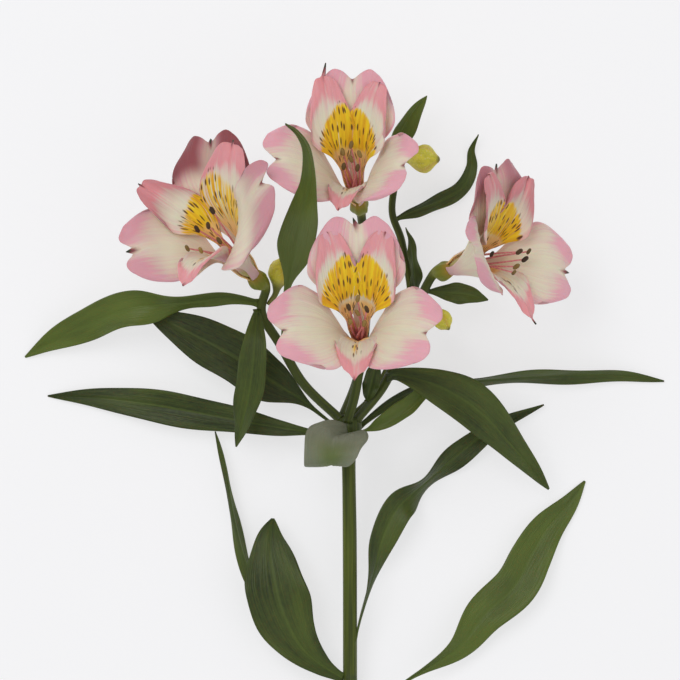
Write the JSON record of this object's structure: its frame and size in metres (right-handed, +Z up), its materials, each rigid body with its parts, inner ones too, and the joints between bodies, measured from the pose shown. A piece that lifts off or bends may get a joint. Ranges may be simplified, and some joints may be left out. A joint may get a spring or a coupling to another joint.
{
  "type": "cut alstroemeria stem",
  "caption": "Cut alstroemeria stem laid flat: pink and yellow open flowers and buds on rays above a leafy green stalk, for a vase or bouquet.",
  "frame": {"origin": "on the surface that the stem lies on, under the centre of its bounding box", "axes": "+Y along the stem from its cut end to its flowers; +Z up from the surface; +X to the right as seen from above with the flowers at the top"},
  "size_m": [0.2178, 0.3748, 0.0807],
  "materials": {
    "stem_green": "smooth fresh green stalk",
    "leaf_green": "fresh leaf, satin, with lengthwise veins",
    "bud_green": "smooth yellow-green bud",
    "outer_tepal": "soft cream petal with pink edges",
    "inner_tepal": "soft petal, pink over yellow, with dark dashes",
    "anther_brown": "dull"
  },
  "bodies": {
    "root": {"main_stem": "stem_green", "ray_front": "stem_green", "ray_top": "stem_green", "ray_left": "stem_green", "ray_right": "stem_green", "ray_back": "stem_green", "bud_upper": "bud_green", "bud_left": "bud_green", "bud_right": "bud_green", "leaf_left_far": "leaf_green", "leaf_left_broad": "leaf_green", "leaf_left_hanging": "leaf_green", "leaf_left_low": "leaf_green", "leaf_right_drooping": "leaf_green", "leaf_right_far": "leaf_green", "leaf_right_pale": "leaf_green", "leaf_bract_small": "leaf_green", "leaf_stem_right": "leaf_green", "leaf_stem_right_low": "leaf_green", "leaf_stem_left": "leaf_green", "leaf_stem_left_thin": "leaf_green", "leaf_top_left": "leaf_green", "leaf_top_small": "leaf_green", "leaf_top_right": "leaf_green", "leaf_ray_back": "leaf_green", "leaf_ray_right": "leaf_green", "leaf_umbel_front": "leaf_green", "front_dorsal": "outer_tepal", "front_lateral_left": "outer_tepal", "front_lateral_right": "outer_tepal", "front_inner_left": "inner_tepal", "front_inner_right": "inner_tepal", "front_inner_lower": "inner_tepal", "front_stamens": "anther_brown", "top_dorsal": "outer_tepal", "top_lateral_left": "outer_tepal", "top_lateral_right": "outer_tepal", "top_inner_left": "inner_tepal", "top_inner_right": "inner_tepal", "top_inner_lower": "inner_tepal", "top_stamens": "anther_brown", "left_dorsal": "outer_tepal", "left_lateral_left": "outer_tepal", "left_lateral_right": "outer_tepal", "left_inner_left": "inner_tepal", "left_inner_right": "inner_tepal", "left_inner_lower": "inner_tepal", "left_stamens": "anther_brown", "right_dorsal": "outer_tepal", "right_lateral_left": "outer_tepal", "right_lateral_right": "outer_tepal", "right_inner_left": "inner_tepal", "right_inner_right": "inner_tepal", "right_inner_lower": "inner_tepal", "right_stamens": "anther_brown"}
  },
  "joints": []
}
